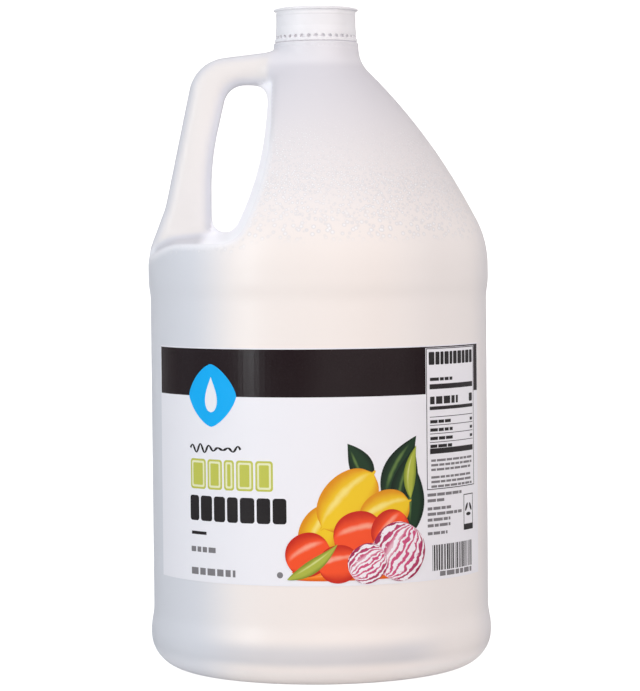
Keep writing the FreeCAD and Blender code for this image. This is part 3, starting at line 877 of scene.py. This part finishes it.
def bar(left, right, low, high, layer, corner=0.0):
    """An upright block, its ends rounded by a corner radius."""
    steps = max(2, int((right - left) / BEND_STEP) + 2)
    if corner == 0.0:
        arc, height = np.meshgrid(np.linspace(left, right, steps),
                                  np.array((low, high), float), indexing="ij")
        return plate(arc, height, layer)
    turn = np.linspace(0, np.pi / 2, 7)
    inset = corner * (1 - np.sin(turn))
    drop = corner * (1 - np.cos(turn))
    spread = np.linspace(left + corner, right - corner, steps)[1:-1]
    arc = np.concatenate([left + drop, spread, (right - drop)[::-1]])
    shrink = np.concatenate([inset, 0 * spread, inset[::-1]])
    half = (high - low) / 2 - shrink
    return ribbon(arc, np.full(len(arc), (high + low) / 2), half, layer, 5)


def frame_of(left, right, low, high, line, layer):
    """Four bars that make a rectangular border."""
    return [bar(left, right, high - line, high, layer), bar(left, right, low, low + line, layer),
            bar(left, left + line, low + line, high - line, layer),
            bar(right - line, right, low + line, high - line, layer)]


def oval(arc, height, wide, high, layer, power=2.0, lean=0.0, steps=33):
    """A filled rounded form: half width wide, half height high, sides by a power curve."""
    turn = np.linspace(0, np.pi, steps)
    along = -np.cos(turn)
    half = high * np.clip(1 - np.abs(along) ** power, 0, None) ** (1 / power)
    line_arc = arc + wide * along * math.cos(lean)
    line_height = height + wide * along * math.sin(lean)
    return ribbon(line_arc, line_height, half, layer)


def words(left, right, low, high, layer, gap=0.9):
    """A line of small print as a row of short bars of uneven length."""
    found = []
    start = left
    while start < right - 1.0:
        end = min(start + RNG.uniform(2.2, 5.6), right)
        found.append(bar(start, end, low, high, layer))
        start = end + gap
    return found


def printed(name, plates, material):
    """One piece of all the plates of one ink."""
    piece = new_piece(name, [(points, faces) for points, faces, _ in plates], smooth=False,
                      marks=[marks for _, _, marks in plates])
    finish(piece, material, "label_paper")


WHITE_INK = (0.86, 0.85, 0.885)
DARK_INK = (0.010, 0.003, 0.0045)
TEXT_INK = (0.011, 0.008, 0.009)
GREY_INK = (0.20, 0.19, 0.20)
LIME_INK = (0.53, 0.55, 0.085)
PALE_LIME = (0.80, 0.81, 0.52)
BLUE_INK = (0.0, 0.42, 0.90)

# places on the label: arc from its middle, and height
BAND_FOOT = 125.4
EDGE = 0.5                             # bare film round the band
BADGE_ARC, BADGE_HEIGHT = -50.5, 125.7
TITLE_LEFT = -63.3
PANEL_LEFT, PANEL_RIGHT = 49.4, 84.3
PANEL_FOOT, PANEL_HEAD = 83.6, 145.4
ROW_LEFT, ROW_RIGHT = 51.6, 82.8       # ruled lines inside the panel
ICON_LEFT, ICON_RIGHT = 74.2, 82.6
ICON_FOOT, ICON_HEAD = 64.4, 80.2

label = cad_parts["label"]
label.data.materials.clear()
label.data.materials.append(ink_material("film_white", WHITE_INK, 0.35, 0.02))

band = bar(EDGE - LABEL_HALF, LABEL_HALF - EDGE, BAND_FOOT, LABEL_HEAD - EDGE, 1)
printed("label_band", [band], ink_material("ink_band", DARK_INK, 0.24, 0.02, 0.14))


def badge():
    """A rounded diamond with a pale drop on it.

    The diamond's half height follows a power curve between a lozenge and a circle; the
    drop's half width is a root of a sine, drawn in towards its tip.
    """
    power = 1.45
    along = -np.cos(np.linspace(0, np.pi, 41))
    half = 13.6 * (1 - np.abs(along) ** power) ** (1 / power)
    diamond = ribbon(BADGE_ARC + 13.3 * along, np.full(41, BADGE_HEIGHT), half, 2)
    rise = np.linspace(0, 1, 31)
    width = 4.6 * np.sin(np.pi * rise) ** 0.5 * (1 - rise) ** 0.62
    drop = ribbon(np.full(31, BADGE_ARC), BADGE_HEIGHT - 7.3 + 15.4 * rise, width, 3)
    return diamond, drop


def squiggle():
    """A thin wavy line in place of the script word: a sine whose swing comes and goes."""
    stroke = np.linspace(0, 1, 90)
    swing = 1.9 * np.sin(stroke * 11 * np.pi) * (0.6 + 0.4 * np.sin(stroke * 7))
    half = 0.42 + 0.12 * np.cos(stroke * 22 * np.pi)
    return ribbon(TITLE_LEFT - 0.1 + 28.0 * stroke, 102.6 + swing, half, 1, 3)


def row_of_bars(start, widths, gap, low, high, layer, corner):
    """Bars side by side, each of its own width, from a start and with an even gap."""
    found = []
    for width in widths:
        found.append(bar(start, start + width, low, high, layer, corner))
        start += width + gap
    return found


diamond, drop = badge()
printed("label_badge", [diamond], ink_material("ink_blue", BLUE_INK, 0.35, 0.02))

dark_words = [squiggle()]
dark_words += row_of_bars(TITLE_LEFT - 0.5, (5.6, 6.6, 6.0, 5.4, 6.9, 6.2, 6.1), 1.07,
                          71.0, 82.0, 1, 1.3)
dark_words.append(bar(-63.1, -53.9, 64.9, 66.3, 1))
printed("label_dark_words", dark_words, ink_material("ink_text", TEXT_INK, 0.45, 0.03))

LIME_WIDTHS = (9.4, 8.0, 5.2, 8.2, 8.0)
LIME_GAP = 1.02
lime = []
for inset, corner, layer in ((0.0, 1.4, 1), (0.85, 0.9, 2), (1.75, 0.5, 3)):
    lime.append(row_of_bars(TITLE_LEFT + inset, [width - 2 * inset for width in LIME_WIDTHS],
                            LIME_GAP + 2 * inset, 84.9 + inset, 98.0 - inset, layer, corner))
printed("label_lime_words", lime[0] + lime[2], ink_material("ink_lime", LIME_INK, 0.45, 0.03))
printed("label_pale_words", lime[1], ink_material("ink_pale_lime", PALE_LIME, 0.45, 0.03))

printed("label_white", [bar(PANEL_LEFT, PANEL_RIGHT, PANEL_FOOT, PANEL_HEAD, 2), drop],
        ink_material("ink_white", WHITE_INK, 0.42, 0.02))


def facts_panel():
    """A bordered panel of bars and rules in place of the facts."""
    found = frame_of(PANEL_LEFT + 0.3, PANEL_RIGHT - 0.3, PANEL_FOOT + 0.2, PANEL_HEAD - 0.2,
                     0.35, 3)
    widths = (3.3, 2.5, 2.0, 2.8, 1.9, 2.6, 2.9, 2.3, 3.0, 2.6)
    found += row_of_bars(51.2, widths, 0.6, 138.0, 143.6, 3, 0.5)
    for low, thick in ((127.4, 2.2), (118.4, 1.5), (99.3, 2.4)):
        found.append(bar(ROW_LEFT, ROW_RIGHT, low, low + thick, 3))
    for low in (115.2, 111.6, 107.9, 104.2):
        found.append(bar(ROW_LEFT, ROW_RIGHT, low, low + 0.28, 3))
    found += words(51.8, 70.0, 120.9, 124.2, 3)
    found.append(bar(79.4, 82.4, 121.0, 124.6, 3, 0.6))
    for low in (131.0, 112.6, 109.0, 105.3, 101.9):
        found += words(51.8, 66.0, low, low + 1.4, 3, 0.6)
    for low in (112.6, 109.0, 105.3):
        found.append(bar(80.2, 82.4, low, low + 1.3, 3))
    return found


def icon():
    """A small bordered sign: three leaning ovals in a ring over a solid foot."""
    found = frame_of(ICON_LEFT, ICON_RIGHT, ICON_FOOT, ICON_HEAD, 0.4, 1)
    found.append(bar(ICON_LEFT, ICON_RIGHT, ICON_FOOT, ICON_FOOT + 2.6, 1))
    for turn in (0.5, 2.6, 4.7):
        found.append(oval(78.4 + 2.1 * math.cos(turn), 73.4 + 2.1 * math.sin(turn), 2.0, 0.75,
                          1, lean=turn + np.pi / 2, steps=13))
    return found


def striped_block():
    """Upright lines of uneven width and spacing; they spell nothing."""
    found = []
    start = 52.6
    while start < 80.6:
        width = RNG.choice((0.28, 0.28, 0.55, 0.85))
        found.append(bar(start, start + width, 48.4, 59.6, 1))
        start += width + RNG.choice((0.3, 0.55, 0.8))
    return found


def small_print():
    """Rows of short bars inside the panel, below it and at the foot of the front."""
    found = []
    for head in (95.9, 88.6):
        for row in range(3):
            found += words(52.2, 81.5, head - 2.0 * row, head + 1.0 - 2.0 * row, 3, 0.6)
    for low, right in ((80.9, 72.5), (78.4, 60.0), (74.9, 64.5), (72.5, 72.5), (70.0, 64.0),
                       (67.5, 64.0), (64.1, 62.0)):
        found += words(50.0, right, low, low + 1.3, 1, 0.6)
    found += words(-63.4, -48.8, 57.3, 59.6, 1)
    found += words(-63.4, -38.5, 47.4, 50.4, 1, 1.1)
    found += words(57.01, 80.8, 45.8, 47.9, 1, 0.8)
    found.append(oval(-17.7, 49.1, 1.35, 1.35, 1, steps=17))
    return found


printed("label_panel_ink", facts_panel() + icon() + striped_block(),
        ink_material("ink_panel", TEXT_INK, 0.45, 0.06))
printed("label_small_print", small_print(), ink_material("ink_grey", GREY_INK, 0.45, 0.06))


# ---------------------------------------------------------------- produce print
def bent_line(arc, height, long, lean, bend, steps):
    """A line of even steps whose direction turns steadily: its shares, arcs and heights."""
    share = np.linspace(0, 1, steps)
    turn = lean + bend * share
    return (share, arc + np.cumsum(np.cos(turn)) * long / steps,
            height + np.cumsum(np.sin(turn)) * long / steps)


def leaf(arc, height, long, half, lean, bend, layer):
    """A pointed leaf along a bent line: its half width follows a sine."""
    share, line_arc, line_height = bent_line(arc, height, long, lean, bend, 25)
    return ribbon(line_arc, line_height, half * np.sin(np.pi * share ** 0.85), layer)


def taper(arc, height, long, half, lean, bend, layer):
    """A root along a bent line: round at its head and drawn out to a point."""
    share, line_arc, line_height = bent_line(arc, height, long, lean, bend, 33)
    width = half * np.clip(share / 0.09, 0, 1) ** 0.5 * (1 - share) ** 0.55
    return ribbon(line_arc, line_height, width, layer)


def lemon(arc, height, long, half, lean, layer):
    """A lemon: an oval whose half width gains a small nub at each end."""
    turn = np.linspace(0, np.pi, 37)
    along = -np.cos(turn)
    width = half * (0.9 * np.clip(1 - (along / 0.88) ** 2, 0, None) ** 0.5
                    + 0.1 * np.clip(1 - along ** 2, 0, None) ** 0.3)
    return ribbon(arc + long * along * math.cos(lean), height + long * along * math.sin(lean),
                  width, layer)


printed("print_leaves", [
    leaf(28.0, 78.0, 34.0, 6.6, 1.25, -0.35, 1),
    leaf(34.0, 70.0, 34.0, 6.6, 1.35, -0.1, 2),
    leaf(22.0, 86.0, 22.0, 5.2, 1.9, 0.3, 1),
    leaf(41.0, 64.0, 32.0, 5.8, 1.45, 0.15, 3),
], fruit_material("ink_leaf", (0.014, 0.042, 0.018), (0.007, 0.018, 0.010), (0.20, 0.33, 0.08)))
printed("print_lemons", [
    lemon(12.0, 81.0, 17.5, 11.4, 0.80, 3),
    lemon(0.5, 67.5, 14.0, 9.6, 1.1, 2),
    lemon(28.5, 75.5, 13.5, 9.4, 0.35, 4),
], fruit_material("ink_lemon", (0.86, 0.56, 0.02), (0.72, 0.27, 0.010), (0.96, 0.86, 0.35)))
printed("print_roots", [
    taper(40.0, 62.5, 54.0, 6.8, 3.42, -0.1, 5),
    taper(36.5, 53.4, 50.0, 6.4, 3.22, 0.06, 6),
], fruit_material("ink_root", (0.94, 0.23, 0.015), (0.72, 0.11, 0.008), (0.98, 0.58, 0.22)))
printed("print_cherries", [
    oval(-5.5, 58.0, 9.8, 9.4, 7, 2.1, 0.5),
    oval(16.5, 66.0, 11.0, 10.4, 7, 2.1, 0.2),
    oval(31.0, 67.5, 9.2, 8.8, 8, 2.1, 0.9),
    oval(7.8, 53.8, 8.8, 8.2, 8, 2.1, 0.2),
], fruit_material("ink_cherry", (0.90, 0.085, 0.022), (0.56, 0.022, 0.010), (0.99, 0.58, 0.42)))
printed("print_radishes", [
    oval(35.2, 58.3, 12.4, 12.8, 9, 2.2, 1.0),
    oval(20.4, 53.8, 8.8, 8.4, 10, 2.2, 0.6),
], fruit_material("ink_radish", (0.60, 0.08, 0.20), (0.34, 0.02, 0.08), (0.95, 0.90, 0.93),
                  stripe=(0.90, 0.84, 0.88)))
printed("print_beans", [
    leaf(-15.6, 46.8, 28.0, 2.9, 0.35, 0.5, 11),
    leaf(41.0, 80.0, 24.0, 3.0, 1.75, -0.6, 9),
], fruit_material("ink_bean", (0.42, 0.46, 0.06), (0.22, 0.28, 0.03), (0.80, 0.82, 0.40)))


# ---------------------------------------------------------------- stage, light, camera
# azimuth from and to in degrees, softness of the ends, colour
STUDIO_LAMPS = (
    (-4.0, 65.0, 9.0, (2.12, 1.98, 1.93)),
    (-108.0, -56.0, 9.0, (0.62, 0.70, 0.80)),
    (-172.0, -140.0, 9.0, (0.60, 0.55, 0.45)),
    (95.0, 140.0, 12.0, (0.76, 0.78, 0.82)),
)
ROOM_TONE = (0.12, 0.12, 0.13)
OVERHEAD_TONE = (0.74, 0.74, 0.78)
BACKDROP_TONE = (1.0, 1.0, 1.0)
FLOOR_GLOW = 0.85                      # seen by the camera only: it keeps the floor white
# place, what it looks at, width, height, watts, colour
STRIP_LAMP = ((-0.95, -0.92, 0.46), (0.0, 0.0, 0.15), 0.16, 0.9, 6.2, (0.93, 0.98, 1.0))
CAMERA_PLACE = Vector((0.00052, -1.23606, 0.19588))
CAMERA_AIM = Vector((0.00052, 0.0, 0.1444))
CAMERA_ROLL = math.radians(-0.535)
CAMERA_LENS = 141.88


def make_floor():
    """A pale floor that sweeps up into a wall: straight, a quarter round, straight."""
    floor_long, sweep, wall_high, half_wide = 1.6, 0.5, 2.2, 3.2
    turn = np.linspace(0, np.pi / 2, 17)
    run = np.concatenate([[-2.6], floor_long + sweep * np.sin(turn), [floor_long + sweep]])
    rise = np.concatenate([[0.0], sweep * (1 - np.cos(turn)), [wall_high]])
    across = np.linspace(-half_wide, half_wide, 3)
    points = np.stack([across[None, :] + 0 * run[:, None], run[:, None] + 0 * across,
                       rise[:, None] + 0 * across], axis=-1).reshape(-1, 3) / MM
    number = np.arange(len(run) * 3).reshape(-1, 3)
    faces = np.stack([number[:-1, :-1], number[:-1, 1:], number[1:, 1:], number[1:, :-1]],
                     axis=-1).reshape(-1, 4)
    floor = new_piece("studio_floor", [(points, faces)])
    material, tree, shader = new_material("studio_white")
    cloud = noise(tree, object_place(tree)[0], 3.0)
    tone = mixed(tree, cloud, (0.60, 0.60, 0.60), (0.62, 0.62, 0.62))
    tree.links.new(tone, shader.inputs["Base Color"])
    shader.inputs["Roughness"].default_value = 0.9
    shader.inputs["Specular IOR Level"].default_value = 0.1
    shader.inputs["Emission Color"].default_value = (1.0, 1.0, 1.0, 1.0)
    seen = add(tree, "ShaderNodeLightPath").outputs["Is Camera Ray"]
    tree.links.new(math_node(tree, "MULTIPLY", seen, FLOOR_GLOW),
                   shader.inputs["Emission Strength"])
    floor.data.materials.append(material)


def make_world():
    """Soft light from all round: a wide lamp in front, a cool one on the left, dim behind.

    The colour depends on the azimuth, 0 at the front and positive to the right, and
    overhead it becomes one even tone.  The backdrop itself is plain white.
    """
    world = bpy.data.worlds.new("studio_air")
    bpy.context.scene.world = world
    world.use_nodes = True
    tree = world.node_tree
    back = tree.nodes["Background"]
    way = add(tree, "ShaderNodeTexCoord").outputs["Generated"]
    parts = add(tree, "ShaderNodeSeparateXYZ")
    tree.links.new(way, parts.inputs[0])
    turn = add(tree, "ShaderNodeMath", operation="ARCTAN2")
    tree.links.new(parts.outputs[0], turn.inputs[0])
    tree.links.new(math_node(tree, "MULTIPLY", parts.outputs[1], -1.0), turn.inputs[1])
    azimuth = math_node(tree, "MULTIPLY", turn.outputs[0], 180 / math.pi)
    tone = ROOM_TONE
    for start, end, soft, colour in STUDIO_LAMPS:
        share = math_node(tree, "MULTIPLY", ramp(tree, azimuth, start - soft, start + soft),
                          ramp(tree, azimuth, end + soft, end - soft))
        tone = mixed(tree, share, tone, colour)
    tone = mixed(tree, ramp(tree, parts.outputs[2], 0.5, 0.95), tone, OVERHEAD_TONE)
    seen = add(tree, "ShaderNodeLightPath").outputs["Is Camera Ray"]
    tree.links.new(mixed(tree, seen, tone, BACKDROP_TONE), back.inputs["Color"])
    back.inputs["Strength"].default_value = 1.0


def area_light(name, place, aim, wide, high, power, colour):
    """A soft rectangular lamp that looks from one point to another."""
    data = bpy.data.lights.new(name, "AREA")
    data.shape = "RECTANGLE"
    data.size = wide
    data.size_y = high
    data.energy = power
    data.color = colour
    lamp = bpy.data.objects.new(name, data)
    lamp.location = place
    lamp.rotation_euler = (Vector(aim) - Vector(place)).to_track_quat("-Z", "Y").to_euler()
    bpy.context.scene.collection.objects.link(lamp)


def make_camera():
    """The camera stands in front, a little above the middle, and looks slightly down."""
    data = bpy.data.cameras.new("camera")
    data.sensor_fit = "VERTICAL"
    data.sensor_height = 36.0
    data.lens = CAMERA_LENS
    camera = bpy.data.objects.new("camera", data)
    level = (CAMERA_AIM - CAMERA_PLACE).to_track_quat("-Z", "Y")
    camera.rotation_mode = "QUATERNION"
    camera.rotation_quaternion = level @ Quaternion((0.0, 0.0, 1.0), CAMERA_ROLL)
    camera.location = CAMERA_PLACE
    bpy.context.scene.collection.objects.link(camera)
    bpy.context.scene.camera = camera


make_floor()
make_world()
area_light("strip_lamp", *STRIP_LAMP)
make_camera()
bpy.context.scene.view_settings.view_transform = "Standard"
bpy.context.scene.view_settings.look = "None"
